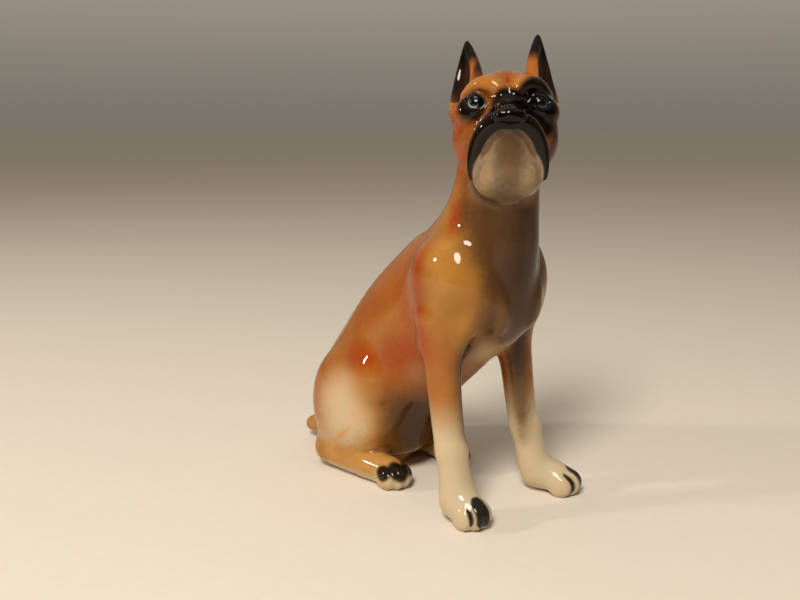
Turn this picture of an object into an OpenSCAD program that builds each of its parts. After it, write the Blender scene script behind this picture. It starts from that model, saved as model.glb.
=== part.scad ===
// Ceramic dog figurine: a seated boxer, slip cast in nine castings that are
// luted together with slip and glazed over. Millimetres, +Z up, the dog sits
// facing -Y with its head turned to its right, and the table is z = 0.

/* [Trunk] */
// Width of the trunk at the ribs
trunk_w = 30.6; // [25:0.2:37]
// Depth of the trunk from back to belly, square to its slope
trunk_depth = 39.6; // [33:0.2:48]
// Height of the withers above the table
withers_z = 69; // [58:0.5:83]
// Distance from the seat to the withers along the table
trunk_run = 47.3; // [39:0.1:57]
// Distance of the seat behind the origin
seat_y = 22.5; // [19:0.5:27]
// Wall of the hollow castings
wall = 2.6; // [2:0.1:3.2]
// Bore of the kiln vent under the seat
vent_d = 3; // [2:0.1:3.6]

/* [Head and neck] */
// Height of the head centre above the withers
neck_l = 29.3; // [24:0.1:36]
// Width of the neck under the jaw
neck_w = 19.6; // [16:0.2:24]
// Width of the skull across the temples
skull_w = 27.6; // [23:0.2:33]
// Length of the head from nape to lips
head_l = 30; // [25:0.2:36]
// Height of the head from chin to crown
head_h = 34.8; // [29:0.2:42]
// Width of the muzzle across the flews
muzzle_w = 18; // [15:0.2:21.6]
// Turn of the head to the dog's right, in degrees
head_turn = 44; // [30:1:55]
// Lift of the muzzle, in degrees
head_lift = 18; // [10:1:24]
// Length of the right ear above the crown
ear_l = 11; // [9:0.2:13.4]
// How much longer the left ear is
left_ear_extra = 1.2; // [0:0.1:2.4]
// Width of an ear at its root
ear_w = 9.2; // [7.6:0.2:11.2]

/* [Forelegs] */
// Distance between the axes of the two forelegs
stance_w = 29.6; // [25:0.2:35]
// Diameter of a foreleg at its middle
foreleg_d = 8.2; // [6.8:0.2:10]
// Distance of the elbows below the withers
elbow_drop = 27; // [23:0.5:32]
// Width of a front paw
paw_w = 9.4; // [7.8:0.2:11.4]
// Reach of a front paw in front of its wrist
paw_reach = 5; // [4:0.2:6.4]
// How much further the left paw reaches than the right
left_paw_lead = 3.5; // [0:0.5:5]

/* [Hind legs and tail] */
// Width of the figurine across the two thighs
haunch_w = 38.6; // [34:0.2:46]
// Length of a thigh from knee to hip
thigh_l = 33; // [28:0.5:40]
// Height of the top of a thigh above the table
thigh_h = 34.5; // [29:0.5:41]
// Length of a hind foot from heel to toes
hind_foot_l = 35.4; // [30:0.2:42]
// Width of a hind foot
hind_foot_w = 8.8; // [7.4:0.2:10.6]
// Length of the docked tail
tail_l = 12.4; // [10.4:0.2:15]

/* [Hidden] */

COAT = "peru";
MASK = "saddlebrown";
SOCK = "cornsilk";

left = 1;
right = -1;
oval_fn = 28;
limb_fn = 22;
section_fn = 36;
section_h = 0.4;
ground = 60;
// The left paw reaches out further, so the dog's midline lies a little to the right
midline_x = -1.6;

half_w = trunk_w / 2;
half_depth = trunk_depth / 2;
half_neck = neck_w / 2;
withers_y = seat_y - trunk_run;
head_y = withers_y - 5.2;
head_z = withers_z + neck_l;
head_x = 0.9;

half_skull = skull_w / 2;
half_muzzle = muzzle_w / 2;
crown_z = head_h * 0.41;
chin_z = crown_z - head_h;
lips_y = -head_l * 0.6;

leg_x = stance_w / 2;
leg_r = foreleg_d / 2;
leg_y = withers_y - 0.6;
elbow_z = withers_z - elbow_drop;
paw_r = paw_w / 2;

haunch_x = haunch_w / 2;
foot_r = hind_foot_w / 2;
heel_y = seat_y - 1;

// Sections of the trunk and neck: y, z, half width, half depth
body_rows = [
    [seat_y, 0, half_w - 4.5, half_depth - 8.5],
    [seat_y, 3.5, half_w - 2.4, half_depth - 5],
    [seat_y - 0.01 * trunk_run, 0.145 * withers_z, half_w - 1, half_depth - 1.8],
    [seat_y - 0.11 * trunk_run, 0.29 * withers_z, half_w, half_depth - 0.8],
    [seat_y - 0.275 * trunk_run, 0.44 * withers_z, half_w, half_depth - 0.8],
    [seat_y - 0.475 * trunk_run, 0.595 * withers_z, half_w, half_depth],
    [seat_y - 0.71 * trunk_run, 0.74 * withers_z, half_w - 0.1, half_depth - 0.3],
    [seat_y - 0.9 * trunk_run, 0.87 * withers_z, half_w - 0.3, half_depth - 1.8],
    [withers_y, withers_z, half_neck + 3.2, half_neck + 5.2],
    [withers_y - 2.7, withers_z + 0.3 * neck_l, half_neck + 1.5, half_neck + 2.1],
    [withers_y - 4.2, withers_z + 0.64 * neck_l, half_neck, half_neck + 0.4],
    [withers_y - 4.5, withers_z + 0.72 * neck_l, half_neck - 0.6, half_neck - 0.4]
];
neck_end = len(body_rows) - 1;
cavity_start = 2;

module oval(at, radii, turns = [0, 0, 0]) {
    translate(at) rotate(turns) scale(radii) sphere(r = 1, $fn = oval_fn);
}

// Round bead; a row is x, y, z, radius
module bead(row) {
    translate([row[0], row[1], row[2]]) sphere(r = row[3], $fn = limb_fn);
}

// Chain of beads, each hulled to the next
module limb(rows) {
    for (i = [0 : len(rows) - 2]) {
        hull() {
            bead(rows[i]);
            bead(rows[i + 1]);
        }
    }
}

module below_table() {
    translate([-ground, -ground, -ground]) cube([2 * ground, 2 * ground, ground]);
}

// Shifts a casting so that the origin is under the middle of the figurine
module placed() {
    translate([midline_x, 0, 0]) children();
}

// Lean of a body section, square to the line through its neighbours
function lean(i) =
    let (
        a = body_rows[max(i - 1, 0)],
        b = body_rows[min(i + 1, neck_end)]
    )
    i < 2 ? 0 : atan2(a[0] - b[0], b[1] - a[1]);

module body_section(i, inset) {
    row = body_rows[i];
    translate([0, row[0], row[1]])
        rotate([lean(i), 0, 0])
            scale([row[2] - inset, row[3] - inset, 1])
                cylinder(r = 1, h = section_h, $fn = section_fn);
}

module trunk(inset, first) {
    for (i = [first : neck_end - 1]) {
        hull() {
            body_section(i, inset);
            body_section(i + 1, inset);
        }
    }
}

module shoulder(side) {
    oval([side * (half_w - 3.5), withers_y - 1.2, withers_z - 8], [6.8, 11, 14], [-12, side * 7, 0]);
}

module body_outer() {
    trunk(0, 0);
    // Brisket between the forelegs
    oval([0, withers_y - 2.2, elbow_z + 10], [half_w - 3.8, 13.6, 12.4], [-35, 0, 0]);
    shoulder(left);
    shoulder(right);
}

// Drained inside of the trunk, open at the neck
module body_cavity() {
    trunk(wall, cavity_start);
    translate([0, body_rows[neck_end][0], body_rows[neck_end][1]])
        rotate([lean(neck_end), 0, 0])
            scale([half_neck - 0.6 - wall, half_neck - 0.4 - wall, 1])
                cylinder(r = 1, h = 3, $fn = section_fn);
}

module body_shell() {
    color(COAT) placed() difference() {
        body_outer();
        body_cavity();
        translate([0, seat_y, -1]) cylinder(d = vent_d, h = 0.145 * withers_z + 3, $fn = section_fn);
        below_table();
    }
}

// Places its children in the frame of the turned and lifted head
module in_head() {
    translate([head_x, head_y, head_z]) rotate([0, 0, -head_turn]) rotate([-head_lift, 0, 0]) children();
}

module cranium(inset) {
    oval([0, 2, 4.5], [half_skull - 2.4 - inset, head_l * 0.385 - inset, crown_z - 4.5 - inset]);
}

module cheek(side) {
    oval([side * (half_skull - 5.8), 0, -2.5], [5, 8.5, 8.8]);
    oval([side * (half_skull - 4.8), 3.5, 5.2], [4.8, 5, 6.5]);
}

module brow(side) {
    oval([side * (half_skull - 8.2), -8, 6.8], [4.2, 2.6, 2.2], [0, side * 12, 0]);
}

module flew(side) {
    oval([side * (half_muzzle - 4.6), lips_y + 5.5, -7], [4.6, 5.6, 5.2]);
    limb([
        [side * (half_muzzle - 3.8), lips_y + 5.5, -8, 4.2],
        [side * (half_muzzle - 2.8), lips_y + 7, -12.5, 3.3],
        [side * (half_muzzle - 2.2), lips_y + 8, chin_z + 5.1, 2.2]
    ]);
}

module head_outer() {
    in_head() {
        cranium(0);
        oval([0, -4.5, 6.4], [half_skull - 5.3, 6, 5.4]);
        oval([0, lips_y + 7.5, -5], [half_muzzle - 2.2, 7.4, 6.4]);
        for (side = [left, right]) {
            cheek(side);
            brow(side);
            flew(side);
        }
        // Bridge, nose and chin
        limb([[0, -6, 0, 4.6], [0, lips_y + 4, -3, 4]]);
        oval([0, lips_y + 1, -3.6], [3.1, 2, 2.1]);
        oval([0, lips_y + 7.5, chin_z + 6], [6.6, 6, 6]);
        // Throat
        limb([[0, 0, -8, 7.5], [0, lips_y + 11, -12, 7]]);
    }
}

module head_shell() {
    color(MASK) placed() difference() {
        head_outer();
        body_outer();
        in_head() {
            cranium(wall);
            limb([[0, 2, 3, half_neck - wall - 0.6], [0, 1.5, -5, half_neck - wall - 1.4]]);
        }
    }
}

// Ear sections in the head frame: x, y, z, half width
function ear_rows(side, length) = [
    for (up = [0 : 0.25 : 1])
        [
            side * (half_skull - 5 + 0.5 * sin(180 * up)),
            4 + 2.4 * up,
            crown_z - 5.3 + (length + 4.4) * up,
            ear_w / 2 * (1 - 0.8 * pow(up, 1.3))
        ]
];

module ear(side, length) {
    rows = ear_rows(side, length);
    color(MASK) placed() difference() {
        in_head() {
            difference() {
                limb(rows);
                // Scooped front of the ear
                oval([rows[2][0] + side * 0.6, rows[2][1] - ear_w * 0.42, rows[2][2] - 1],
                    [ear_w * 0.2, ear_w * 0.3, length * 0.55]);
            }
        }
        head_outer();
    }
}

module ear_left() {
    ear(left, ear_l + left_ear_extra);
}

module ear_right() {
    ear(right, ear_l);
}

module foreleg(side, lead) {
    color(SOCK) placed() difference() {
        limb([
            [side * (leg_x - 1.8), leg_y + 2.4, elbow_z + 8, leg_r + 2.3],
            [side * (leg_x - 1.2), leg_y + 1, elbow_z, leg_r + 1.1],
            [side * (leg_x - 0.6), leg_y, elbow_z - 7, leg_r + 0.4],
            [side * (leg_x - 0.4), leg_y - 2.1, elbow_z * 0.52, leg_r],
            [side * (leg_x + 0.1), leg_y - 4.6, paw_w + 3.6, leg_r],
            [side * (leg_x + 0.5 + lead * 0.2), leg_y - 7, paw_r + 1, paw_r + 0.1],
            [side * (leg_x + 0.8 + lead * 0.95), leg_y - 6.4 - paw_reach - lead, paw_r - 0.5, paw_r]
        ]);
        body_outer();
        below_table();
    }
}

module foreleg_left() {
    foreleg(left, left_paw_lead);
}

module foreleg_right() {
    foreleg(right, 0);
}

module hind_leg(side) {
    toe_y = heel_y - hind_foot_l + foot_r * 2 + 1;
    color(COAT) placed() difference() {
        union() {
            // Thigh and knee
            oval([side * (haunch_x - 7), seat_y - 9.5, thigh_h - 15.5], [7, thigh_l / 2, 15.5], [22, 0, 0]);
            oval([side * (haunch_x - 6.2), seat_y + 11 - thigh_l, thigh_h - 4], [5, 6.5, 7]);
            limb([
                [side * (haunch_x - 5.2), heel_y - foot_r, foot_r + 0.6, foot_r + 1],
                [side * (haunch_x - 5.4), heel_y - foot_r - 6, foot_r + 0.4, foot_r + 0.4],
                [side * (haunch_x - 5.6), heel_y - foot_r - 12, foot_r + 0.2, foot_r - 0.1],
                [side * (haunch_x - 6.3), toe_y + 7, foot_r - 0.1, foot_r - 0.1],
                [side * (haunch_x - 7), toe_y, foot_r - 0.4, foot_r]
            ]);
        }
        body_outer();
        below_table();
    }
}

module hind_leg_left() {
    hind_leg(left);
}

module hind_leg_right() {
    hind_leg(right);
}

module tail_stub() {
    root_y = seat_y + half_depth - 4;
    color(COAT) placed() difference() {
        limb([
            [-1, root_y - 5, 8, 4],
            [-2.1, root_y + tail_l * 0.25, 5.2, 3.3],
            [-2.6, root_y + tail_l - 5, 4.2, 2.6]
        ]);
        body_outer();
    }
}

body_shell();
head_shell();
ear_left();
ear_right();
foreleg_left();
foreleg_right();
hind_leg_left();
hind_leg_right();
tail_stub();
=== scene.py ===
"""Glazed ceramic figurine of a seated boxer dog: nine castings under one continuous glazed skin."""
import math

import bpy
import numpy as np
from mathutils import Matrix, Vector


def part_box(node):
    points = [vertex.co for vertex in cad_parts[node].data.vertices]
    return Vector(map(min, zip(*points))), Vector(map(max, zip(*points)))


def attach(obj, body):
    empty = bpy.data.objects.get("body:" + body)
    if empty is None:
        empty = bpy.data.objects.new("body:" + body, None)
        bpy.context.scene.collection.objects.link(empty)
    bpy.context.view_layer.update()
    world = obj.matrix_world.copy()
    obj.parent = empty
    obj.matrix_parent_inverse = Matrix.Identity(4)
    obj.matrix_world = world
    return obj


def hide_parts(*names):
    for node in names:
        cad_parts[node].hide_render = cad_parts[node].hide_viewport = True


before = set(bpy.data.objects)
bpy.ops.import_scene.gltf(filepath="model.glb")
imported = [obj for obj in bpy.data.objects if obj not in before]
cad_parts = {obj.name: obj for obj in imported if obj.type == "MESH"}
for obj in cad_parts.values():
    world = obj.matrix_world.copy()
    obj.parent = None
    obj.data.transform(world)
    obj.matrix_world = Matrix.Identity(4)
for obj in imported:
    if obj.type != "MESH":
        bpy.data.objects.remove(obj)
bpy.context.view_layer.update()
MM = 0.001


# ---------------------------------------------------------------- where things are

def box_mm(node):
    """Lowest and highest corner of a casting, in millimetres."""
    low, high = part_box(node)
    return np.array(low) / MM, np.array(high) / MM


# The dog's frame: x across, y towards the rump, z up, with x = 0 on the spine.
# In it the body casting is this high and reaches this far back
BODY_TOP = 91.69
BODY_BACK = 42.19
# From the middle of the head casting's box to the middle of the skull
SKULL_OFFSET = (1.56, 1.74, 1.48)

body_low, body_high = box_mm("body_shell")
head_low, head_high = box_mm("head_shell")
SCALE = body_high[2] / BODY_TOP
ORIGIN = np.array([(body_low[0] + body_high[0]) / 2, body_high[1] - BODY_BACK * SCALE, 0.0])


def dog_point(point_mm):
    """A point of the row frame, in the dog's frame."""
    return (np.array(point_mm) - ORIGIN) / SCALE


HEAD_AT = dog_point((head_low + head_high) / 2) + np.array(SKULL_OFFSET)


# ---------------------------------------------------------------- solids of clay

def turn(yaw=0.0, pitch=0.0, roll=0.0):
    """Rotation matrix: roll about y, then pitch about x, then yaw about z, in degrees."""
    a, b, c = np.radians([yaw, pitch, roll])
    rz = np.array([[np.cos(a), -np.sin(a), 0], [np.sin(a), np.cos(a), 0], [0, 0, 1]])
    rx = np.array([[1, 0, 0], [0, np.cos(b), -np.sin(b)], [0, np.sin(b), np.cos(b)]])
    ry = np.array([[np.cos(c), 0, np.sin(c)], [0, 1, 0], [-np.sin(c), 0, np.cos(c)]])
    return rz @ rx @ ry


LEVEL = np.eye(3)
# The head looks to the dog's right and a little up
HEAD_TURN = turn(-46, -18)


def in_head(x, y, z):
    """A point of the head's frame, in the dog's frame."""
    return HEAD_AT + HEAD_TURN @ np.array([x, y, z], float)


def smooth_rows(rows, per=6):
    """Catmull-Rom curve through rows of numbers, with this many steps from row to row."""
    rows = np.array(rows, float)
    p = np.vstack([2 * rows[0] - rows[1], rows, 2 * rows[-1] - rows[-2]])
    out = []
    for i in range(1, len(p) - 2):
        a, b, c, d = p[i - 1:i + 3]
        for t in np.arange(per) / per:
            curve = 2 * b + (c - a) * t + (2 * a - 5 * b + 4 * c - d) * t ** 2
            out.append(0.5 * (curve + (3 * b - a - 3 * c + d) * t ** 3))
    out.append(rows[-1])
    return np.array(out)


def ball(centre, radii, m=LEVEL):
    """Ellipsoid whose axes are the columns of m."""
    c = np.array(centre, float)
    r = np.broadcast_to(np.array(radii, float), (3,)).copy()
    reach = np.sqrt(((m * r) ** 2).sum(1))

    def distance(x, y, z):
        dx, dy, dz = x - c[0], y - c[1], z - c[2]
        k0 = 0
        k1 = 0
        for i in range(3):
            q = (dx * m[0, i] + dy * m[1, i] + dz * m[2, i]) / r[i]
            k0 = k0 + q * q
            k1 = k1 + (q / r[i]) ** 2
        k0 = np.sqrt(k0)
        k1 = np.sqrt(k1) + 1e-9
        return (k0 * (k0 - 1) / k1).astype(np.float32)
    return c - reach, c + reach, distance


def limb(rows):
    """Round limb through rows of x, y, z, radius."""
    rows = smooth_rows(rows)
    low = (rows[:, :3] - rows[:, 3:]).min(0)
    high = (rows[:, :3] + rows[:, 3:]).max(0)

    def distance(x, y, z):
        best = None
        for a, b in zip(rows[:-1], rows[1:]):
            ab = b[:3] - a[:3]
            t = ((x - a[0]) * ab[0] + (y - a[1]) * ab[1] + (z - a[2]) * ab[2]) / (ab @ ab + 1e-12)
            t = np.clip(t, 0, 1)
            gap = (x - a[0] - t * ab[0]) ** 2 + (y - a[1] - t * ab[1]) ** 2
            gap = np.sqrt(gap + (z - a[2] - t * ab[2]) ** 2) - (a[3] + t * (b[3] - a[3]))
            best = gap if best is None else np.minimum(best, gap)
        return best.astype(np.float32)
    return low, high, distance


def sweep(rows, at=(0, 0, 0), m=LEVEL, cap=1.0):
    """Body of oval sections along a curve in a plane, in the frame m at a point.

    The rows are y, z, half width and half depth; cap is how far the ends bulge.
    """
    at = np.array(at, float)
    r = smooth_rows(rows, 8)
    tangent = np.gradient(r[:, :2], axis=0)
    tangent /= np.linalg.norm(tangent, axis=1)[:, None]
    reach = np.maximum(r[:, 2], r[:, 3])
    line = np.stack([np.zeros(len(r)), r[:, 0], r[:, 1]], 1) @ m.T + at
    low = (line - reach[:, None]).min(0)
    high = (line + reach[:, None]).max(0)

    def distance(x, y, z):
        dx, dy, dz = x - at[0], y - at[1], z - at[2]
        lx, ly, lz = [dx * m[0, i] + dy * m[1, i] + dz * m[2, i] for i in range(3)]
        if ly.shape != lz.shape:
            ly, lz = np.broadcast_arrays(ly, lz)
        best = np.full(ly.shape, 1e9, np.float32)
        n = np.zeros(ly.shape, np.float32)
        s = np.zeros(ly.shape, np.float32)
        wide = np.ones(ly.shape, np.float32)
        deep = np.ones(ly.shape, np.float32)
        for a, b, ta, tb in zip(r[:-1], r[1:], tangent[:-1], tangent[1:]):
            ab = b[:2] - a[:2]
            t = np.clip(((ly - a[0]) * ab[0] + (lz - a[1]) * ab[1]) / (ab @ ab), 0, 1)
            ey = ly - a[0] - t * ab[0]
            ez = lz - a[1] - t * ab[1]
            d2 = ey ** 2 + ez ** 2
            nearer = d2 < best
            best = np.where(nearer, d2, best)
            ty = ta[0] + t * (tb[0] - ta[0])
            tz = ta[1] + t * (tb[1] - ta[1])
            n = np.where(nearer, ey * tz - ez * ty, n)
            s = np.where(nearer, ey * ty + ez * tz, s)
            wide = np.where(nearer, a[2] + t * (b[2] - a[2]), wide)
            deep = np.where(nearer, a[3] + t * (b[3] - a[3]), deep)
        end = np.minimum(wide, deep) * cap
        k0 = np.sqrt((lx / wide) ** 2 + (n / deep) ** 2 + (s / end) ** 2)
        k1 = np.sqrt((lx / wide ** 2) ** 2 + (n / deep ** 2) ** 2 + (s / end ** 2) ** 2) + 1e-9
        return (k0 * (k0 - 1) / k1).astype(np.float32)
    return low, high, distance


# ---------------------------------------------------------------- the dog in clay

# Every step of the modelling in order: casting, add or cut, solid, softness
WORK = []


def add(node, solid, soft=1.0):
    """Adds clay for a casting, with a fillet of about this many millimetres."""
    WORK.append((node, 1, solid, soft))


def cut(node, solid, soft=0.5):
    """Carves clay away, with an edge softened by about this many millimetres."""
    WORK.append((node, -1, solid, soft))


def sponge(spread):
    """Wipes the clay smooth, rounding everything off by about this many millimetres."""
    WORK.append(("", 0, None, spread))


def head_ball(x, y, z, radii):
    """Ellipsoid in the head's frame."""
    return ball(in_head(x, y, z), radii, HEAD_TURN)


def head_limb(rows):
    """Limb in the head's frame."""
    return limb([list(in_head(*row[:3])) + [row[3]] for row in rows])


# The dog's right is at -x and its left at +x
SIDES = ((-1, "right"), (1, "left"))
# In the head's frame: the left eye, the jaw, and the hanging left lip from the nose down
EYE = (7.5, -7.9, 3.0)
EYE_RADIUS = 2.05
# Middle and radii of the lower jaw and of the chin's left half
JAW = ((0, -3.6, -6.4), (8.5, 11.4, 14.0))
CHIN = ((4.0, -7.0, -13.4), (4.6, 5.8, 6.0))
LIP = [
    (1.8, -15.6, -3.2, 2.1), (4.8, -14.2, -4.6, 2.3), (7.3, -12.0, -8.0, 1.9), (8.5, -10.5, -12.4, 1.3),
    (8.8, -9.6, -16.0, 0.8)
]


def model_trunk():
    """Seat, trunk and neck in one sweep, then brisket, shoulders and breast."""
    shell = "body_shell"
    add(shell, sweep([
        (24.5, 0, 11, 13.0), (23.4, 10, 14.6, 19.6), (19.4, 20, 15.6, 20.4), (12.2, 30.5, 15.4, 19.6),
        (3, 41, 15.3, 19.8), (-8, 51, 15.2, 19.5), (-17, 60, 15, 18.0), (-21.8, 69, 13.0, 15.0),
        (-24.5, 78, 11.3, 11.9), (-26, 88, 9.8, 10.2), (-26.5, 94, 8.5, 8.5)
    ], cap=0.5), 1)
    add(shell, ball((0, -21, 52), (11.5, 13.6, 12.4), turn(0, -35)), 5)
    for s in (-1, 1):
        add(shell, ball((s * 11.8, -20.8, 59), (7.0, 11, 12.6), turn(0, -14, s * 7)), 7)
        # Breast on each side of the breastbone
        add(shell, ball((s * 6.4, -28.0, 56), (5.0, 6.2, 9.5), turn(s * 12, -22, s * 14)), 3)
        add(shell, limb([
            (s * 11.6, -27.0, 60, 2.4), (s * 12.4, -27.2, 52, 3.0), (s * 13.2, -23.6, 45, 2.6)
        ]), 3)


def model_legs():
    """Straight forelegs, folded hind legs and the docked tail."""
    for s, side in SIDES:
        fore = "foreleg_" + side
        add(fore, limb([
            (s * 13.0, -19, 50, 6.4), (s * 13.6, -20.4, 42, 5.2), (s * 14.2, -21.4, 35, 4.5),
            (s * 14.4, -23.5, 22, 4.1), (s * 14.9, -26, 13, 4.1), (s * 15.2, -27.5, 8, 4.5)
        ]), 5)
        # Point of the elbow and the wrist
        add(fore, ball((s * 14.2, -16.6, 44), (3.4, 3.2, 5.5), turn(0, 14)), 3)
        add(fore, ball((s * 14.6, -25.0, 17.5), (4.25, 4.25, 4.2)), 2)
        # Thigh, knee and the foot along the table
        hind = "hind_leg_" + side
        add(hind, ball((s * 12.3, 18.4, 18.6), (7.0, 13.4, 16.0), turn(0, -14)), 8)
        add(hind, ball((s * 13.2, 7.6, 30.0), (5.2, 7.2, 7.4), turn(0, -30)), 6)
        add(hind, limb([(s * 14.0, 24, 6, 5.4), (s * 13.6, 12, 4.6, 4.3), (s * 12.3, 1.5, 4.0, 4.2)]), 3)
    add("tail_stub", limb([(-1, 36, 8, 4), (-2, 43.5, 5.5, 3.6), (-2.5, 48.4, 4.2, 2.6)]), 2)


# Middle of each front paw's toes on the table, and the paw's turn in degrees
FRONT_PAW = {"right": ((-15.6, -34.2, 0), -6), "left": ((19.1, -36.4, 0), 22)}


def toes(node, at, yaw, wide, long, high):
    """Four toes side by side, pointing along -y before the paw is turned."""
    m = turn(yaw)
    for x, y, grow in ((-1.5, 1.3, 0.86), (-0.52, 0, 1), (0.52, 0, 1), (1.5, 1.3, 0.86)):
        centre = np.array(at, float) + m @ np.array([x * wide, y, high * 0.86 * grow])
        add(node, ball(centre, (wide * 0.66, long * grow, high * grow), m @ turn(0, 8)), 0.7)


def model_paws():
    """Paws and toes; the left front paw reaches further and turns out."""
    add("foreleg_right", limb([(-15.3, -28, 5.5, 5), (-15.5, -31.6, 4.3, 4.4)]), 2)
    toes("foreleg_right", *FRONT_PAW["right"], 2.35, 3.9, 3.9)
    add("foreleg_left", limb([(15.8, -28.6, 5.3, 4.8), (17.9, -33.6, 4.3, 4.2)]), 2)
    toes("foreleg_left", *FRONT_PAW["left"], 2.3, 4.0, 3.8)
    for s, side in SIDES:
        toes("hind_leg_" + side, (s * 12.1, -1.7, 0), s * 4, 2.3, 4.3, 3.8)


def model_head():
    """Skull, brows, muzzle, chin and hanging lips."""
    head = "head_shell"
    add(head, head_ball(0, 2, 4.5, (11.4, 11.5, 9.8)), 3)
    add(head, head_ball(0, -4.5, 6.4, (8.5, 6, 5.4)), 3)
    add(head, head_limb([(0, 0, -8, 7.5), (0, -7, -12, 7)]), 3)
    for s in (-1, 1):
        # Jaw muscle, temple and brow
        add(head, head_ball(s * 8.0, 0, -2.5, (5.0, 8.5, 8.8)), 3)
        add(head, head_ball(s * 9.0, 3.5, 5.2, (4.8, 5, 6.5)), 2)
        add(head, head_limb([
            (s * 1.6, -10.4, 5.6, 1.7), (s * 4.2, -9.4, 7.5, 2.1), (s * 7.4, -7.5, 7.6, 1.9),
            (s * 10.0, -4.6, 6.0, 1.5)
        ]), 2)
        # Socket under the brow
        add(head, head_ball(s * 8.2, -6.4, 1.6, (4.4, 3.4, 4.0)), 2)
    # Bridge of the nose, lower jaw and chin
    add(head, head_limb([(0, -6, 0, 4.6), (0, -13.6, -2.6, 3.6)]), 2)
    add(head, head_ball(*JAW[0], JAW[1]), 2)
    for s in (-1, 1):
        add(head, head_ball(s * CHIN[0][0], *CHIN[0][1:], CHIN[1]), 2)
        # Hanging upper lip
        add(head, head_limb([(s * x, y, z, r) for x, y, z, r in LIP]), 1.3)


def ear_frame(s):
    """Extra height, foot and axes of an ear; the right ear stands a little wider."""
    lean = 2.0 if s > 0 else -6.0
    return 1.2 if s > 0 else 0.0, in_head(s * 9.0, 4.6, 9), HEAD_TURN @ turn(s * 46, 0, lean)


def model_ears():
    """Cropped ears, each a flat sweep that runs to a point."""
    for s, side in SIDES:
        ear = "ear_" + side
        k, at, m = ear_frame(s)
        add(ear, sweep([
            (0, -4, 5.3, 4.7), (0, 0, 5.1, 4.2), (0.4, 4, 4.8, 3.1), (0.8, 8 + k * 0.5, 4.0, 2.3),
            (1.0, 12 + k * 0.8, 2.6, 1.6), (1.0, 15.0 + k, 1.4, 1.0), (0.9, 17.2 + k, 0.5, 0.4)
        ], at, m, cap=0.8), 1.6)


def carve_face():
    """Furrows, folds, nose, nostrils and the lids round each eyeball."""
    head = "head_shell"
    # Furrow up the forehead, and the fold between muzzle and brow
    cut(head, head_limb([(0, -12.6, 5.0, 0.9), (0, -11.8, 8.0, 0.8), (0, -7.5, 12.4, 0.5)]), 2.4)
    for s in (-1, 1):
        cut(head, head_limb([
            (s * 1.0, -14.4, 3.0, 0.4), (s * 3.9, -13.6, 2.2, 0.5), (s * 6.4, -12.9, -0.8, 0.4),
            (s * 9.2, -10.9, -4.0, 0.3)
        ]), 2.4)
        # Crease behind the hanging lip
        cut(head, head_limb([
            (s * 9.9, -9.8, -6.4, 0.5), (s * 10.4, -8.4, -11.0, 0.6), (s * 10.2, -7.4, -15.4, 0.5)
        ]), 1.4)
        # Edge of the lip over the chin
        cut(head, head_limb([
            (0, -17.6, -5.6, 0.3), (s * 2.9, -16.8, -6.3, 0.35), (s * 5.0, -15.2, -8.2, 0.4),
            (s * 6.4, -13.6, -11.2, 0.4), (s * 7.6, -12.0, -14.6, 0.35), (s * 8.2, -11.0, -17.4, 0.3)
        ]), 1.0)
    # Nose leather with its two wings
    add(head, head_ball(0, -17.0, -2.9, (2.6, 2.1, 1.9)), 0.5)
    for s in (-1, 1):
        add(head, head_ball(s * 2.1, -16.8, -3.1, (1.8, 2.1, 1.6)), 0.5)
        # Groove between nose and lip
        cut(head, head_limb([
            (0, -18.9, -4.9, 0.2), (s * 2.4, -18.3, -4.8, 0.25), (s * 4.4, -16.6, -3.6, 0.2)
        ]), 0.6)
        # Eyeball between two lids
        cut(head, head_ball(s * 7.6, -9.5, 2.9, (2.6, 1.7, 2.0)), 0.8)
        add(head, head_limb([
            (s * 5.0, -10.0, 2.9, 0.45), (s * 6.1, -10.2, 4.4, 0.6), (s * 7.9, -9.8, 5.1, 0.65),
            (s * 9.6, -8.6, 4.1, 0.5)
        ]), 0.9)
        add(head, head_limb([
            (s * 5.0, -10.0, 2.7, 0.4), (s * 6.4, -9.9, 1.1, 0.5), (s * 8.3, -9.3, 0.8, 0.5),
            (s * 9.7, -8.4, 2.3, 0.4)
        ]), 0.9)
        add(head, head_ball(s * EYE[0], EYE[1] - 0.1, EYE[2], (EYE_RADIUS,) * 3), 0.25)
        # Nostril
        cut(head, head_limb([
            (s * 1.4, -19.2, -3.5, 0.5), (s * 2.6, -18.8, -3.3, 0.45), (s * 3.5, -17.8, -2.8, 0.25)
        ]), 0.4)
    # Line down the middle of the nose
    cut(head, head_limb([(0, -19.4, -3.4, 0.15), (0, -18.8, -5.0, 0.2), (0, -17.9, -6.6, 0.2)]), 0.5)


def carve_ears():
    """The shallow cup inside each ear."""
    for s, side in SIDES:
        k, at, m = ear_frame(s)
        cut("ear_" + side, sweep([
            (-4.6, -2.5, 2.2, 1.8), (-4.0, 1, 3.0, 2.6), (-2.6, 5, 2.7, 2.2), (-1.5, 9 + k * 0.6, 1.9, 1.5),
            (-0.9, 12.6 + k, 0.9, 0.8)
        ], at, m, cap=0.8), 0.9)


model_trunk()
model_legs()
model_paws()
model_head()
model_ears()
sponge(0.6)
carve_face()
carve_ears()
sponge(0.22)


# ---------------------------------------------------------------- from clay to skin

def smear(old, new, soft, sign):
    """Joins or cuts two distances with a soft edge."""
    if sign < 0:
        new = -new
        h = np.maximum(soft - np.abs(old - new), 0) / soft
        return np.maximum(old, new) + h * h * h * soft / 6
    h = np.maximum(soft - np.abs(old - new), 0) / soft
    return np.minimum(old, new) - h * h * h * soft / 6


def wipe(d, spread, step):
    """Blurs a grid by about this many millimetres."""
    for _ in range(max(1, round(2 * spread ** 2 / step ** 2))):
        for axis in range(3):
            d = (np.roll(d, 1, axis) + 2 * d + np.roll(d, -1, axis)) / 4
    return d


# Distance given to empty space, and how far round a solid its distance is worked out
FAR = 30.0
MARGIN = 3.5


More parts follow.
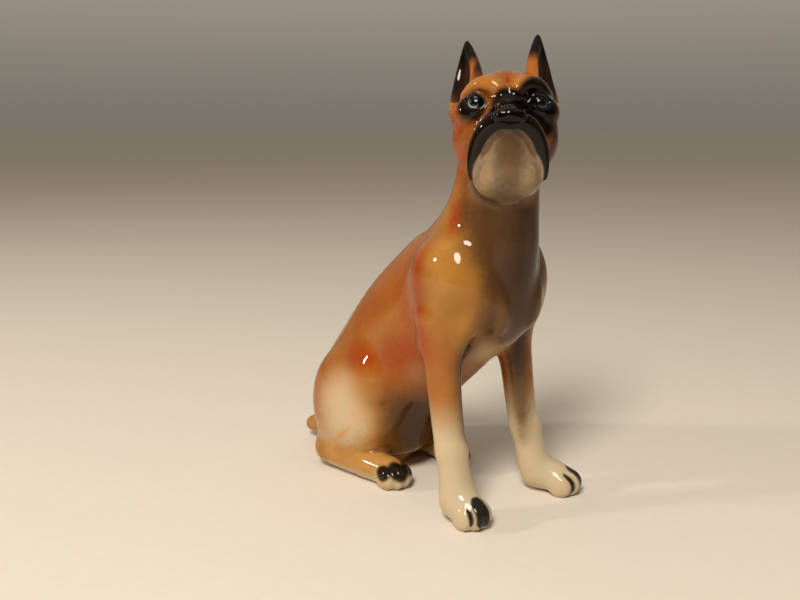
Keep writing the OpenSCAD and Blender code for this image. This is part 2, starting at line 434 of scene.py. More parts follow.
def clay_block(low, high, step):
    """Distance to the dog's surface at the points of a grid."""
    low = np.array(low, float)
    count = np.ceil((np.array(high) - low) / step).astype(int) + 1
    axes = [low[i] + step * np.arange(count[i]) for i in range(3)]
    d = np.full(tuple(count), FAR, np.float32)
    for node, sign, solid, soft in WORK:
        if sign == 0:
            d = wipe(d, soft, step)
            continue
        start, stop, distance = solid
        margin = soft + MARGIN
        cuts = []
        parts = []
        for i in range(3):
            a = max(int(np.floor((start[i] - margin - low[i]) / step)), 0)
            b = min(int(np.ceil((stop[i] + margin - low[i]) / step)) + 1, count[i])
            cuts.append(slice(a, max(a, b)))
            shape = [1, 1, 1]
            shape[i] = -1
            parts.append(axes[i][cuts[-1]].reshape(shape).astype(np.float32))
        if any(c.stop <= c.start for c in cuts):
            continue
        cuts = tuple(cuts)
        d[cuts] = smear(d[cuts], distance(*parts), soft, sign)
    table = -axes[2].reshape(1, 1, -1).astype(np.float32)
    return np.maximum(d, table), low, step


def at_points(d, low, step, p):
    """Trilinear value of a grid at points."""
    q = (p - low) / step
    i = np.clip(np.floor(q).astype(int), 0, np.array(d.shape) - 2)
    f = q - i
    value = 0
    for a in (0, 1):
        for b in (0, 1):
            for c in (0, 1):
                w = (f[:, 0] if a else 1 - f[:, 0]) * (f[:, 1] if b else 1 - f[:, 1])
                w = w * (f[:, 2] if c else 1 - f[:, 2])
                value = value + d[i[:, 0] + a, i[:, 1] + b, i[:, 2] + c] * w
    return value


def slope(d, low, step, p):
    """Unit normals at points: the direction in which the grid's distance grows."""
    g = np.zeros_like(p)
    for axis in range(3):
        e = np.zeros(3)
        e[axis] = step * 0.75
        g[:, axis] = at_points(d, low, step, p + e) - at_points(d, low, step, p - e)
    return g / np.maximum(np.linalg.norm(g, axis=1)[:, None], 1e-9)


def skin(d, low, step):
    """Surface nets: points and triangles of the grid's zero surface."""
    inside = d < 0
    nx, ny, nz = d.shape
    count = np.zeros((nx - 1, ny - 1, nz - 1), np.int8)
    corners = [(i, j, k) for i in (0, 1) for j in (0, 1) for k in (0, 1)]
    for i, j, k in corners:
        count += inside[i:nx - 1 + i, j:ny - 1 + j, k:nz - 1 + k]
    at = np.full(count.shape, -1, np.int64)
    ci, cj, ck = np.nonzero((count > 0) & (count < 8))
    at[ci, cj, ck] = np.arange(len(ci))
    total = np.zeros((len(ci), 3))
    number = np.zeros(len(ci))
    for corner in corners:
        for axis in range(3):
            if corner[axis]:
                continue
            c0 = np.array(corner)
            c1 = c0.copy()
            c1[axis] = 1
            d0 = d[ci + c0[0], cj + c0[1], ck + c0[2]].astype(float)
            d1 = d[ci + c1[0], cj + c1[1], ck + c1[2]].astype(float)
            m = (d0 < 0) != (d1 < 0)
            t = np.where(m, d0 / np.where(m, d0 - d1, 1), 0)
            total[m] += (c0 + t[:, None] * (c1 - c0))[m]
            number[m] += 1
    points = low + (np.stack([ci, cj, ck], 1) + total / number[:, None]) * step
    quads = []
    for axis in range(3):
        u, w = [i for i in range(3) if i != axis]
        first = [slice(1, -1)] * 3
        second = [slice(1, -1)] * 3
        first[axis] = slice(0, d.shape[axis] - 1)
        second[axis] = slice(1, d.shape[axis])
        a, b = inside[tuple(first)], inside[tuple(second)]
        edge = np.nonzero(a != b)
        flip = a[edge]
        base = np.stack(edge, 1)
        base[:, u] += 1
        base[:, w] += 1
        ring = []
        for du, dw in ((-1, -1), (0, -1), (0, 0), (-1, 0)):
            q = base.copy()
            q[:, u] += du
            q[:, w] += dw
            ring.append(at[q[:, 0], q[:, 1], q[:, 2]])
        q = np.stack(ring, 1)
        if axis == 1:
            flip = ~flip
        q[~flip] = q[~flip][:, ::-1]
        quads.append(q)
    quads = np.concatenate(quads)
    # Two steps bring the points onto the surface itself
    for _ in range(2):
        move = np.clip(at_points(d, low, step, points), -step, step)
        points = points - slope(d, low, step, points) * move[:, None]
    # The shorter diagonal of each quad
    p = points[quads]
    long_way = np.linalg.norm(p[:, 0] - p[:, 2], axis=1) > np.linalg.norm(p[:, 1] - p[:, 3], axis=1)
    quads[long_way] = np.roll(quads[long_way], 1, axis=1)
    triangles = np.concatenate([quads[:, [0, 1, 2]], quads[:, [0, 2, 3]]])
    return points, triangles


def largest(triangles, mask):
    """The largest connected patch of the marked points, joined by triangle edges."""
    edges = np.concatenate([triangles[:, [0, 1]], triangles[:, [1, 2]]])
    edges = edges[mask[edges].all(1)]
    label = np.arange(len(mask))
    while True:
        before = label.copy()
        m = np.minimum(label[edges[:, 0]], label[edges[:, 1]])
        np.minimum.at(label, edges[:, 0], m)
        np.minimum.at(label, edges[:, 1], m)
        label = label[label]
        if (label == before).all():
            break
    marked = np.nonzero(mask)[0]
    names, counts = np.unique(label[marked], return_counts=True)
    keep = np.zeros(len(mask), bool)
    keep[marked[label[marked] == names[counts.argmax()]]] = True
    return keep


def clip(points, triangles, f):
    """The part of a skin where f is negative, cut along f = 0."""
    keep = largest(triangles, f < 0)
    f = np.where(keep, f, np.abs(f) + 1e-6)
    side = f[triangles] < 0
    whole = side.all(1)
    crossed = side.any(1) & ~whole
    made = {}
    extra = []

    def on_edge(a, b):
        key = (a, b) if a < b else (b, a)
        if key not in made:
            t = f[key[0]] / (f[key[0]] - f[key[1]])
            t = min(max(t, 0.02), 0.98)
            made[key] = len(points) + len(extra)
            extra.append(points[key[0]] + t * (points[key[1]] - points[key[0]]))
        return made[key]

    new = []
    for tri, ins in zip(triangles[crossed], side[crossed]):
        k = int(ins.sum())
        lone = int(np.argmax(ins)) if k == 1 else int(np.argmin(ins))
        a, b, c = (int(tri[(lone + j) % 3]) for j in range(3))
        ab, ac = on_edge(a, b), on_edge(a, c)
        if k == 1:
            new.append((a, ab, ac))
        else:
            new.append((ab, b, c))
            new.append((ab, c, ac))
    points = np.concatenate([points, np.array(extra).reshape(-1, 3)])
    triangles = np.concatenate([triangles[whole], np.array(new, int).reshape(-1, 3)])
    used = np.unique(triangles)
    renumber = np.full(len(points), -1)
    renumber[used] = np.arange(len(used))
    return points[used], renumber[triangles]


def close(points, triangles):
    """Closes each open edge loop with a fan.

    Gives the points, all the triangles, and how many of these are skin.
    """
    a = np.concatenate([triangles[:, [0, 1]], triangles[:, [1, 2]], triangles[:, [2, 0]]])
    key = a[:, 0].astype(np.int64) * len(points) + a[:, 1]
    back = a[:, 1].astype(np.int64) * len(points) + a[:, 0]
    border = a[~np.isin(key, back)]
    follow = {int(x): int(y) for x, y in border}
    fans = []
    hubs = []
    while follow:
        start, at = follow.popitem()
        loop = [start]
        while at != start:
            loop.append(at)
            at = follow.pop(at)
        hub = len(points) + len(hubs)
        hubs.append(points[loop].mean(0))
        for i, p in enumerate(loop):
            fans.append((loop[(i + 1) % len(loop)], p, hub))
    if not fans:
        return points, triangles, len(triangles)
    all_points = np.concatenate([points, np.array(hubs)])
    return all_points, np.concatenate([triangles, np.array(fans)]), len(triangles)


NODES = sorted({node for node, sign, solid, soft in WORK if node})


def owners(p):
    """Each casting's own distance at points, before the joins were wiped over."""
    found = {node: np.full(len(p), 1e3, np.float32) for node in NODES}
    x, y, z = p.astype(np.float32).T
    for node, sign, solid, soft in WORK:
        if sign > 0:
            found[node] = np.minimum(found[node], solid[2](x, y, z))
    return found


# ---------------------------------------------------------------- paint

def fade(v, start, stop):
    """Smooth step from 0 at start to 1 at stop."""
    t = np.clip((v - start) / (stop - start), 0, 1)
    return t * t * (3 - 2 * t)


def spray(p, solid, soft, strength=1.0):
    """One pass of the airbrush over a place: full inside it, fading out over its edge."""
    x, y, z = p.astype(np.float32).T
    return strength * (1 - fade(solid[2](x, y, z), -soft, soft))


def over(*passes):
    """Passes of one stain on top of each other."""
    clear = 1.0
    for one in passes:
        clear = clear * (1 - one)
    return 1 - clear


def mirrored(p):
    """Points brought to the dog's left."""
    return p * np.where(p[:, :1] < 0, -1, 1) ** np.array([1, 0, 0])


def paint_coat(p):
    """Stains of the trunk and legs, alike on both sides: warm, pale, grey-brown, black and honey, with
    painted shade in some grey-brown and black passes.
    """
    q = mirrored(p)
    # Brush strokes low on the thigh
    streaks = over(
        spray(q, limb([(18.9, 11.4, 15.2, 0.5), (18.4, 15.0, 12.2, 0.9), (17.9, 18.5, 9.4, 0.8)]), 1.2, 0.85),
        spray(q, limb([(18.0, 24.8, 13.4, 0.8), (17.4, 26.4, 10.8, 0.7)]), 1.3, 0.8),
        spray(q, limb([(17.4, 20.5, 6.6, 0.6), (17.0, 24.5, 7.2, 0.7)]), 1.2, 0.7)
    )
    crease = limb([
        (17.6, -17, 72, 1.4), (18.6, -15.2, 61, 2.4), (19.4, -16.6, 51, 2.6), (18.9, -18.6, 43, 1.4)
    ])
    spine = limb([
        (0, -10, 92, 4), (0, -6, 76, 5), (0, 8, 62, 5), (0, 24, 46, 5), (0, 36, 30, 4), (0, 44, 12, 4)
    ])
    # Red-brown behind the shoulder, on the flank, knee, neck and spine
    warm = over(
        0.30 * fade(q[:, 1] * 0.5 - q[:, 2] * 0.1, -17.5, -12.5) * fade(q[:, 2], 14, 26),
        spray(q, crease, 3.0, 0.85),
        spray(q, ball((14, -8, 39.5), (6, 8.5, 5.0)), 3.4, 0.7),
        spray(q, ball((15.5, -3, 34), (4, 4, 4)), 2.4, 0.5),
        spray(q, ball((16.5, 8.5, 36.5), (5, 6.5, 3.6)), 3.0, 0.85),
        spray(q, limb([(12, -9, 66, 3), (13.5, 2, 56, 4), (14, 12, 46, 4)]), 6, 0.38),
        spray(q, limb([(16.5, -11.5, 64, 3), (16, -8, 56, 3.4), (16.5, -10, 48, 3)]), 4, 0.55),
        spray(q, limb([(9.5, -17, 90, 3.2), (11, -21.5, 83, 3.4), (12.4, -22.6, 75, 2.6)]), 2.6, 0.85),
        spray(q, spine, 5, 0.5),
        spray(q, ball((16, 28, 20), (5, 5, 9)), 4.0, 0.55),
        streaks * 0.38
    )
    # Cream on the thigh and under the breast, and a faint pale patch by the elbow that is a painted highlight
    pale = over(
        spray(q, ball((18.5, 14.6, 20.5), (6, 7.0, 8.5)), 6.5, 0.76) * (1 - streaks),
        spray(q, limb([(18, 24, 11, 2), (18.6, 15, 12, 3), (17, 8, 16, 2)]), 3.5, 0.5) * (1 - streaks),
        spray(q, ball((0, -27, 42.5), (9.5, 8, 4.2)), 2.6, 0.4),
        # Painted highlight by the elbow
        spray(q, ball((12.5, -13, 33), (4.5, 6, 5)), 3.4, 0.16)
    )
    # Grey-brown down the throat and chest, inside the forelegs and on the belly; low on the chest, inside the
    # forelegs and on the belly it is also painted shade
    inside_leg = limb([
        (10.4, -25.5, 46, 2.4), (10.8, -25.5, 37, 3.4), (11.0, -26.0, 25, 2.8), (11.2, -27.0, 14, 1.4)
    ])
    smoke_and_shade = over(
        spray(q, ball((0, -34, 74), (15.6, 13.4, 18)), 4.4, 0.92),
        spray(q, ball((0, -36, 58), (13.2, 9.5, 10)), 3.6, 0.86),
        spray(q, ball((0, -34, 50), (13.6, 7.5, 7.5)), 3.6, 0.84),
        spray(q, inside_leg, 2.6, 0.94),
        spray(q, limb([(10.4, -24.5, 86, 1.4), (11.4, -25.6, 77, 2.0)]), 3.0, 0.62),
        spray(q, ball((0, -2, 17), (14.0, 10.5, 15)), 5.0, 0.94),
        spray(q, ball((0, -8, 34), (10, 9, 7)), 3.0, 0.5)
    )
    # Painted shade: black down the crease of the chest and where each foreleg meets the chest
    dark = spray(q, limb([(1.5, -33, 82, 1.6), (2.5, -36, 71, 2.2), (2.5, -36.5, 62, 1.6)]), 4.5, 0.5)
    dark = over(dark, spray(q, limb([(10.2, -25, 44, 0.8), (10.6, -25.6, 33, 0.8)]), 2.6, 0.45))
    honey = over(
        spray(q, ball((18.5, 12.0, 21), (7, 9.0, 10)), 6.0, 0.75),
        spray(q, ball((17, 27, 18), (6, 5, 8)), 5.0, 0.2),
        spray(q, limb([(16, -23, 68, 2.5), (17.5, -23, 58, 3)]), 5.0, 0.16),
        streaks * 0.7
    )
    return warm, pale, smoke_and_shade, dark, honey


# Across, half width, where the stroke starts and how low it ends, in a front paw's frame
TOE_STROKES = {
    "right": ((-0.1, 2.1, 0.8, 0.9), (-3.15, 0.5, 0.4, 1.6)),
    "left": ((0.45, 1.6, 0.9, 0.5), (-2.9, 0.5, 0.9, 0.5))
}


def stroke(p, at, yaw, across, half, back, low):
    """Brush stroke over a paw, forward from back and down to low, in the paw's own frame."""
    x, y, z = ((p - np.array(at, float)) @ turn(yaw)).T
    half = half * np.sqrt(np.clip((back - y) / 1.6, 0, 1)) * np.sqrt(np.clip((z - low) / 1.6, 0, 1))
    ends = fade(y, back, back - 0.5) * fade(z, low, low + 0.5)
    return 0.97 * fade(np.abs(x - across) - half, 0.3, -0.2) * ends


def paint_legs(p, node, layers):
    """Cream socks with black toe strokes in front; a honey foot with black toes behind."""
    warm, pale, smoke_and_shade, dark, honey = layers
    if node.startswith("foreleg"):
        sock = fade(p[:, 2], 32.5, 19.5)
        warm = over(warm * (1 - sock), 0.32 * fade(p[:, 2], 52, 43) * fade(p[:, 2], 24, 36))
        pale = over(pale * fade(p[:, 2], 38, 46) * (1 - sock), sock * 0.96)
        smoke_and_shade = smoke_and_shade * fade(p[:, 2], 8, 22)
        for s, side in SIDES:
            if node != "foreleg_" + side:
                continue
            for shape in TOE_STROKES[side]:
                dark = over(dark, stroke(p, *FRONT_PAW[side], *shape))
    if node.startswith("hind_leg"):
        q = mirrored(p)
        foot = spray(q, limb([(14.6, 18, 5, 5.6), (13.6, 8, 5, 5.2), (12.2, -3.5, 4.4, 5.8)]), 1.6, 1.0)
        rim = fade(p[:, 2], 6.4, 2.6) * fade(p[:, 1], 5, -1)
        rim = np.maximum(rim, fade(p[:, 2], 4.2, 1.6) * 0.9)
        pale = pale * (1 - foot * (1 - rim))
        pale = over(pale, foot * rim * 0.9)
        honey = over(honey, foot * 0.30)
        smoke_and_shade = smoke_and_shade * (1 - foot)
        warm = over(warm * (1 - foot * 0.8), spray(q, ball((15.6, 16, 7.6), (3, 5, 2.4)), 1.6, 0.3))
        dark = over(
            dark,
            spray(q, ball((16.4, -0.6, 4.9), (2.1, 2.4, 2.4)), 0.5, 0.97),
            spray(q, ball((13.4, -4.0, 5.6), (2.6, 4.0, 3.0)), 0.6, 0.97),
            spray(q, ball((9.6, -3.6, 5.6), (2.0, 3.4, 2.8)), 0.6, 0.97)
        )
    return warm, pale, smoke_and_shade, dark, honey


def paint_head(p, node, layers):
    """Stains of the head, in the head's frame; the eye patch on the left is the larger."""
    warm, pale, smoke_and_shade, dark, honey = layers
    h = (p - HEAD_AT) @ HEAD_TURN
    q = mirrored(h)
    on_head = fade(p[:, 2], 78, 83) if node == "body_shell" else 1.0
    # The lip's edge is where the skin belongs to neither lip nor chin
    x, y, z = q.astype(np.float32).T
    lip = np.minimum(limb(LIP)[2](x, y, z), ball((0, -15.8, -3.0), (4.2, 3.4, 3.0))[2](x, y, z))
    jaw = np.minimum(ball(*JAW)[2](x, y, z), ball(*CHIN)[2](x, y, z))
    below = fade(lip - jaw, -1.2, -0.4) * fade(z, -4.5, -6.0)
    rising = LIP[::-1]
    lip_line = np.interp(z, [row[2] for row in rising], [row[0] for row in rising])
    reach = fade(x - lip_line, 0.4, -0.2) * fade(y, -4.5, -6.5)
    chin = below * reach
    rim = fade(lip - jaw, -2.2, -1.4) * fade(z, -3.5, -5.0) * reach
    under = below * spray(q, ball((0, -2, -17), (8.5, 12, 6.5)), 1.6)
    # Red-brown up the forehead, on the cheek and beside the muzzle
    forehead = limb([(0, -11, 8, 0.6), (0, -6, 12.8, 1.4), (0, 2, 14.4, 2.2)])
    muzzle = limb([(4.6, -13, 2.4, 0.8), (8.0, -11.4, -2.4, 1.2), (10, -9.6, -7, 1.0)])
    warm = over(
        warm * (1 - on_head),
        spray(q, forehead, 2.2, 0.85) * on_head,
        spray(q, ball((12, -2, -3), (4.5, 8, 11)), 3, 0.7) * on_head,
        spray(q, muzzle, 1.6, 0.7) * on_head,
        0.30 * on_head
    ) * (1 - rim * on_head)
    pale = over(pale * (1 - on_head), over(rim * 0.72, under * 0.4) * on_head)
    # Grey-brown down the middle of the chin and round its edge, with painted shade darkening the whole chin
    # and underjaw and the cheek behind the hanging lip
    smoke_and_shade = over(
        smoke_and_shade * (1 - on_head * over(chin, under) * 0.8),
        rim * (1 - chin) * 0.9,
        chin * spray(q, limb([(0, -17, -5.5, 3.4), (0, -14, -11, 3.4), (0, -12, -15, 2.0)]), 2.4, 0.88),
        chin * spray(q, limb([(0, -11, -16, 2.4), (0, -8, -20, 3.4)]), 3.0, 0.5),
        chin * spray(q, limb([(5.4, -14, -10, 0.5), (7.4, -11, -16, 0.5)]), 0.8, 0.35),
        # Painted shade over the chin and underjaw
        0.56 * over(chin, under) * on_head,
        # Painted shade under the cheek, behind the hanging lip
        spray(q, limb([(11.0, -8.6, -4, 1.6), (10.8, -7, -14, 1.8)]), 3.0, 0.78) * on_head
    )
    # The black mask, pass by pass, with painted shade on the left cheek and a painted shadow beside the
    # hanging lips
    eye_ring = spray(q, ball((8.4, -9.0, 2.0), (4.0, 4.4, 4.0)), 1.3, 0.985)
    patch = spray(h, ball((7.2, -9.0, 4.4), (5.8, 5.4, 5.0)), 0.9, 0.985)
    joined = limb([(2.6, -13.4, 1.4, 3.0), (5.6, -12.0, 0.0, 3.4), (9.4, -9.4, -2.6, 3.0)])
    joined = spray(h, joined, 0.9, 0.98)
    bridge = limb([(0, -11.8, 1.8, 4.2), (0, -14.8, -0.8, 4.9), (0, -17.4, -4.4, 4.4)])
    bridge = spray(q, bridge, 0.9, 0.985)
    side = limb([
        (3.6, -14.0, -0.4, 2.2), (7.0, -12.2, -3.8, 2.4), (9.2, -10.4, -8.6, 1.9), (9.6, -9.6, -13, 1.2)
    ])
    side = spray(q, side, 0.8, 0.97)
    # Painted shade darkening the left cheek
    cheek = limb([(11.0, -6.6, 1.5, 2.4), (12.0, -5.0, -6.0, 2.6), (11.0, -5.6, -13, 2.2)])
    cheek = spray(h, cheek, 2.6, 0.88)
    crease = fade(x, 8.8, 7.8) * fade(z, -3.5, -5.0) * fade(y, -9.0, -10.5)
    lips = np.maximum(fade(lip, 0.9, 0.1), crease) * 0.985
    shadow = limb([(8.4, -11.4, -4.4, 1.2), (10.0, -9.4, -9.0, 1.5), (10.2, -8.4, -14.0, 1.3)])
    shadow = spray(q, shadow, 2.2, 0.62)
    mask = over(eye_ring, patch, joined, bridge, side, lips, cheek, shadow) * (1 - chin) * on_head
    dark = over(dark * (1 - on_head), mask)
    return warm, pale, smoke_and_shade, dark, honey


def paint_ears(p, node, layers):
    """Black tips, cups and outer edges."""
    warm, pale, smoke_and_shade, dark, honey = layers
    s = 1 if node == "ear_left" else -1
    k, at, m = ear_frame(s)
    e = (p - at) @ m
    tip = fade(e[:, 2], 6.5 + k, 11.0 + k)
    cup = sweep([
        (-4.6, -2.5, 2.4, 2.2), (-4.0, 1, 3.2, 3.0), (-2.6, 5, 3.0, 2.6), (-1.5, 9 + k * 0.6, 2.2, 1.9),
        (-0.9, 12.6 + k, 1.2, 1.2)
    ], at, m, cap=0.8)
    hollow = spray(p, cup, 0.5, 0.93)
    outer = fade(e[:, 0] * s, 0.4, 2.4) * fade(e[:, 2], -3, 3) * 0.93
    if s < 0:
        outer = over(outer, fade(e[:, 0] * s, -2.9, -3.9) * fade(e[:, 2], 0, 7) * 0.9)
    dark = over(dark, tip * 0.99, hollow, outer)
    warm = over(warm, 0.5 * fade(e[:, 2], -2, 4))
    return warm, pale, smoke_and_shade, dark, honey


def paint(p, node):
    """Strength of each glaze stain at points of the dog's frame."""
    layers = paint_coat(p)
    if "leg" in node:
        layers = paint_legs(p, node, layers)
    if node in ("head_shell", "ear_left", "ear_right", "body_shell"):
        layers = paint_head(p, node, layers)
    if node.startswith("ear"):
        layers = paint_ears(p, node, layers)
    found = dict(zip(("warm", "pale", "smoke_and_shade", "dark", "honey"), layers))
    if node == "head_shell":
        # Where a point lies from the middle of its eye, and how far that eye is kept out of painted shade:
        # the left eye is darkened
        h = (p - HEAD_AT) @ HEAD_TURN
        found["gaze"] = (mirrored(h) - np.array(EYE)) @ turn(20)
        found["eye_unshaded"] = fade(h[:, 0], 2.0, -2.0) * 0.82 + 0.18
    return found


# ---------------------------------------------------------------- materials

def colour(hex_text):
    """Linear colour of an sRGB hex string."""
    v = [int(hex_text[i:i + 2], 16) / 255 for i in (0, 2, 4)]
    return tuple(c / 12.92 if c <= 0.04045 else ((c + 0.055) / 1.055) ** 2.4 for c in v) + (1.0,)


class Graph:
    """Short forms for wiring the nodes of a material or of the world."""

    def __init__(self, owner):
        owner.use_nodes = True
        self.nodes = owner.node_tree.nodes
        self.links = owner.node_tree.links

    def node(self, kind, **settings):
        made = self.nodes.new(kind)
        for key, value in settings.items():
            setattr(made, key, value)
        return made

    def wire(self, source, target):
        self.links.new(source, target)

    def feed(self, socket, value):
        """Wires a socket to another one, or sets it to a constant."""
        if isinstance(value, bpy.types.NodeSocket):
            self.wire(value, socket)
        else:
            socket.default_value = value

    def attribute(self, name):
        return self.node("ShaderNodeAttribute", attribute_name=name)

    def math(self, operation, a, b=0.0, clamp=False):
        made = self.node("ShaderNodeMath", operation=operation, use_clamp=clamp)
        self.feed(made.inputs[0], a)
        self.feed(made.inputs[1], b)
        return made.outputs[0]

    def step(self, value, start, stop, low=0.0, high=1.0, curve="SMOOTHSTEP"):
        """Goes from low to high as a value goes from start to stop."""
        made = self.node("ShaderNodeMapRange", interpolation_type=curve)
        self.feed(made.inputs["Value"], value)
        for name, limit in (("From Min", start), ("From Max", stop), ("To Min", low), ("To Max", high)):
            made.inputs[name].default_value = limit
        return made.outputs["Result"]

    def mix(self, factor, a, b, blend="MIX"):
        made = self.node("ShaderNodeMix", data_type="RGBA", blend_type=blend)
        self.feed(made.inputs[0], factor)
        self.feed(made.inputs[6], a)
        self.feed(made.inputs[7], b)
        return made.outputs[2]

    def noise(self, where, scale, detail=2.0):
        made = self.node("ShaderNodeTexNoise")
        self.wire(where, made.inputs["Vector"])
        made.inputs["Scale"].default_value = scale
        made.inputs["Detail"].default_value = detail
        return made.outputs["Fac"]


def glaze(name):
    """Clear glaze over the underglaze stains; the mask's also carries the painted eyes."""
    material = bpy.data.materials.new(name)
    g = Graph(material)
    where = g.node("ShaderNodeTexCoord").outputs["Object"]
    fine = g.noise(where, 2600, 2)
    grain = g.noise(where, 900, 3)
    cloud = g.noise(where, 130, 3)
    relief = g.attribute("relief").outputs["Fac"]

    def stain(shade, layer, hex_text, spatter):
        strength = g.attribute(layer).outputs["Fac"]
        # The airbrush spatters most at half strength
        half = g.math("MULTIPLY", strength, g.math("SUBTRACT", 1.0, strength))
        loose = g.math("MULTIPLY", half, g.math("MULTIPLY", g.math("SUBTRACT", grain, 0.5), 8 * spatter))
        return g.mix(g.math("ADD", strength, loose, clamp=True), shade, colour(hex_text))

    shade = g.mix(g.step(cloud, 0.3, 0.7), colour("a36f2e"), colour("956326"))
    shade = stain(shade, "honey", "dcab66", 0.20)
    shade = stain(shade, "warm", "973706", 0.30)
    shade = stain(shade, "pale", "c4b495", 0.14)
    shade = stain(shade, "smoke_and_shade", "46301f", 0.20)
    # Glaze pools in the hollows and thins over the edges
    shade = g.mix(g.step(relief, -0.4, -1.3), shade, g.mix(1.0, shade, colour("a98a70"), "MULTIPLY"))
    shade = g.mix(g.math("MULTIPLY", g.step(relief, 0.25, 1.0), 0.12), shade, colour("d8a55a"))
    # Fine brown specks, then the black over everything
    shade = g.mix(g.math("MULTIPLY", g.step(fine, 0.60, 0.75), 0.10), shade, colour("6b4526"))
    shade = stain(shade, "dark", "040201", 0.10)
    if name == "mask_glaze":
        shade = paint_eye(g, shade)
    shader = g.nodes["Principled BSDF"]
    g.wire(shade, shader.inputs["Base Color"])
    shader.inputs["Roughness"].default_value = 0.42
    shader.inputs["Specular IOR Level"].default_value = 0.0
    shader.inputs["Coat Weight"].default_value = 1.0
    shader.inputs["Coat Roughness"].default_value = 0.035
    shader.inputs["Coat IOR"].default_value = 1.34
    bump = g.node("ShaderNodeBump")
    bump.inputs["Strength"].default_value = 0.06
    bump.inputs["Distance"].default_value = 0.0004
    g.wire(g.noise(where, 220, 2), bump.inputs["Height"])
    g.wire(bump.outputs["Normal"], shader.inputs["Coat Normal"])
    return material


def paint_eye(g, shade):
    """Eye painted on the ball: dark ground, white crescent, grey iris, black pupil and a painted highlight;
    the left eye is darkened with painted shade.
    """
    part = g.node("ShaderNodeSeparateXYZ")
    g.wire(g.attribute("gaze").outputs["Vector"], part.inputs[0])
    across, ahead, up = part.outputs

    def disc(x, z, radius):
        """1 inside a round spot on the eye, 0 outside it."""
        dx = g.math("SUBTRACT", across, x)
        dz = g.math("SUBTRACT", up, z)
        r = g.math("SQRT", g.math("ADD", g.math("MULTIPLY", dx, dx), g.math("MULTIPLY", dz, dz)))
        return g.step(r, radius + 0.09, radius - 0.09)

    front = g.step(ahead, -0.6, -1.0)
    reach = g.node("ShaderNodeVectorMath", operation="LENGTH")
    g.wire(g.attribute("gaze").outputs["Vector"], reach.inputs[0])
    ball_only = g.math("MULTIPLY", front, g.step(reach.outputs["Value"], 2.36, 2.24))
    ground = colour("070606")
    eye = g.mix(disc(0.04, -0.14, 1.34), ground, colour("8b979c"))
    eye = g.mix(disc(-0.20, 0.18, 1.34), eye, ground)
    eye = g.mix(disc(-0.1, 0.05, 1.02), eye, colour("182228"))
    eye = g.mix(disc(-0.1, 0.05, 0.70), eye, ground)
    # Painted highlight: a pale glint beside the pupil
    eye = g.mix(disc(-0.80, 0.12, 0.20), eye, colour("b4c4cc"))
    # Painted shade: the left eye sinks towards the dark ground
    eye = g.mix(g.attribute("eye_unshaded").outputs["Fac"], ground, eye)
    return g.mix(ball_only, shade, eye)


MATERIALS = {slot: glaze(slot) for slot in ("coat_glaze", "mask_glaze", "ear_glaze", "sock_glaze")}
SLOT_OF = {"body_shell": "coat_glaze", "tail_stub": "coat_glaze", "head_shell": "mask_glaze"}
for s, side in SIDES:
    SLOT_OF["hind_leg_" + side] = "coat_glaze"
    SLOT_OF["foreleg_" + side] = "sock_glaze"
    SLOT_OF["ear_" + side] = "ear_glaze"


# ---------------------------------------------------------------- the nine castings

# Relief is how far the clay stands out of itself wiped by this much, in millimetres
RELIEF_SPREAD = 0.9
FULL_RELIEF = 0.12


def casting(node, points, triangles, d, low, step, relief):
    """The closed and painted mesh of one casting, riding on the figurine."""
    points, triangles, skin_count = close(points, triangles)
    normals = slope(d, low, step, points)
    layers = paint(points, node)
    layers["relief"] = np.clip(at_points(relief, low, step, points) / FULL_RELIEF, -1, 1)
    mesh = bpy.data.meshes.new("glazed_" + node)
    row = (ORIGIN + points * SCALE) * MM
    mesh.vertices.add(len(row))
    mesh.vertices.foreach_set("co", row.astype(np.float32).ravel())
    mesh.loops.add(3 * len(triangles))
    mesh.loops.foreach_set("vertex_index", triangles.astype(np.int32).ravel())
    mesh.polygons.add(len(triangles))
    mesh.polygons.foreach_set("loop_start", np.arange(0, 3 * len(triangles), 3, dtype=np.int32))
    mesh.update(calc_edges=True)
    mesh.validate()
    mesh.polygons.foreach_set("use_smooth", np.ones(len(mesh.polygons), bool))
    # The skin is shaded by the clay's slope, and the closing fans are flat
    corner = normals[triangles]
    p = points[triangles[skin_count:]]
    flat = np.cross(p[:, 1] - p[:, 0], p[:, 2] - p[:, 0])
    flat /= np.maximum(np.linalg.norm(flat, axis=1)[:, None], 1e-12)
    corner[skin_count:] = flat[:, None, :]
    mesh.normals_split_custom_set(corner.reshape(-1, 3))
    for name, values in layers.items():
        values = np.asarray(values, np.float32)
        if values.ndim == 1:
            layer = mesh.attributes.new(name, "FLOAT", "POINT")
            layer.data.foreach_set("value", values)
        else:
            layer = mesh.attributes.new(name, "FLOAT_VECTOR", "POINT")
            layer.data.foreach_set("vector", values.ravel())
    mesh.materials.append(MATERIALS[SLOT_OF[node]])
    piece = bpy.data.objects.new("glazed_" + node, mesh)
    bpy.context.scene.collection.objects.link(piece)
    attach(piece, "root")
    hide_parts(node)


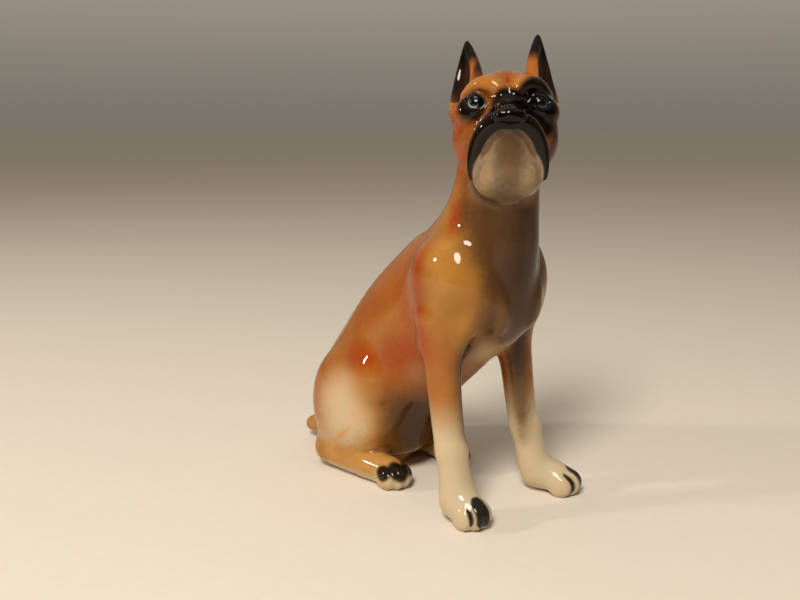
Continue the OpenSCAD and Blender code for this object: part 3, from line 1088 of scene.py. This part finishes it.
# Low corner, high corner, grid step in millimetres, and the castings taken from each block
BLOCKS = [
    ((-21, -42, -1.5), (21, 52, 101), 0.5, ["body_shell", "tail_stub"]),
    ((-21, -49, 76), (19, -7, 125), 0.3, ["head_shell", "ear_left", "ear_right"]),
    ((7, -44, -1.5), (26, -8, 63), 0.36, ["foreleg_left"]),
    ((-26, -44, -1.5), (-7, -8, 63), 0.36, ["foreleg_right"]),
    ((5, -10, -1.5), (22, 37, 44), 0.4, ["hind_leg_left"]),
    ((-22, -10, -1.5), (-5, 37, 44), 0.4, ["hind_leg_right"]),
]
COARSER = 1
for low, high, step, nodes in BLOCKS:
    d, low, step = clay_block(low, high, step * COARSER)
    relief = wipe(d, RELIEF_SPREAD, step) - d
    points, triangles = skin(d, low, step)
    near = owners(points)
    for node in nodes:
        others = np.min([near[other] for other in NODES if other != node], axis=0)
        casting(node, *clip(points, triangles, near[node] - others), d, low, step, relief)


# ---------------------------------------------------------------- floor, light and camera

floor_mesh = bpy.data.meshes.new("floor")
floor_mesh.from_pydata([(-30, -30, 0), (30, -30, 0), (30, 30, 0), (-30, 30, 0)], [], [(0, 1, 2, 3)])
floor = bpy.data.objects.new("floor", floor_mesh)
bpy.context.scene.collection.objects.link(floor)
paper = bpy.data.materials.new("paper")
paper_graph = Graph(paper)
paper_where = paper_graph.node("ShaderNodeTexCoord").outputs["Object"]
paper_shade = paper_graph.mix(paper_graph.noise(paper_where, 260, 4), colour("e3dacc"), colour("e9e1d5"))
paper_shader = paper_graph.nodes["Principled BSDF"]
paper_graph.wire(paper_shade, paper_shader.inputs["Base Color"])
paper_shader.inputs["Roughness"].default_value = 0.8
floor_mesh.materials.append(paper)

# The room is lit behind the dog and dim in front of it, and dimmer below the horizon
world = bpy.data.worlds.new("studio")
bpy.context.scene.world = world
sky = Graph(world)
sky_way = sky.node("ShaderNodeTexCoord").outputs["Generated"]
sky_side = sky.node("ShaderNodeVectorMath", operation="DOT_PRODUCT")
sky.wire(sky_way, sky_side.inputs[0])
sky_side.inputs[1].default_value = (0.62, 0.74, 0.25)
sky_part = sky.node("ShaderNodeSeparateXYZ")
sky.wire(sky_way, sky_part.inputs[0])
behind = sky.step(sky_side.outputs["Value"], -0.5, 0.7, 0.13, 0.46, "LINEAR")
above = sky.step(sky_part.outputs["Z"], -0.02, 0.22, 0.52)
background = sky.nodes["Background"]
background.inputs["Color"].default_value = (0.80, 0.71, 0.585, 1)
sky.wire(sky.math("MULTIPLY", behind, above), background.inputs["Strength"])

# Middle of the figurine, and the warm white of the lamps
AIM = np.array([0, 0, 0.06])
WARM_WHITE = (1.0, 0.93, 0.84)


def lamp(name, size, power, azimuth, elevation, distance):
    """Area lamp that looks at the figurine; azimuth is clockwise from the rump, seen from above."""
    data = bpy.data.lights.new(name, "AREA")
    data.shape = "ELLIPSE"
    data.size, data.size_y = size
    data.energy = power
    data.color = WARM_WHITE
    a, e = math.radians(azimuth), math.radians(elevation)
    way = np.array([math.sin(a) * math.cos(e), math.cos(a) * math.cos(e), math.sin(e)])
    made = bpy.data.objects.new(name, data)
    made.location = AIM + way * distance
    made.rotation_euler = (math.pi / 2 - e, 0, math.pi - a)
    bpy.context.scene.collection.objects.link(made)


lamp("key", (0.26, 0.36), 7.4, -119, 45, 0.9)
lamp("side", (0.08, 0.08), 1.9, -58, 22, 0.9)
lamp("soft_top", (1.6, 1.6), 1.6, -150, 70, 1.4)
bpy.context.scene.view_settings.view_transform = "Standard"

# Where the camera stands in metres, and how far it tips down and is turned in degrees
CAMERA_AT = (-0.1739, -0.1777, 0.098)
CAMERA_TIP = 10.82
CAMERA_TURN = -43

camera_data = bpy.data.cameras.new("camera")
camera_data.lens = 40.5
camera_data.sensor_width = 36
camera = bpy.data.objects.new("camera", camera_data)
camera.location = CAMERA_AT
camera.rotation_euler = (math.radians(90 - CAMERA_TIP), 0, math.radians(CAMERA_TURN))
bpy.context.scene.collection.objects.link(camera)
bpy.context.scene.camera = camera
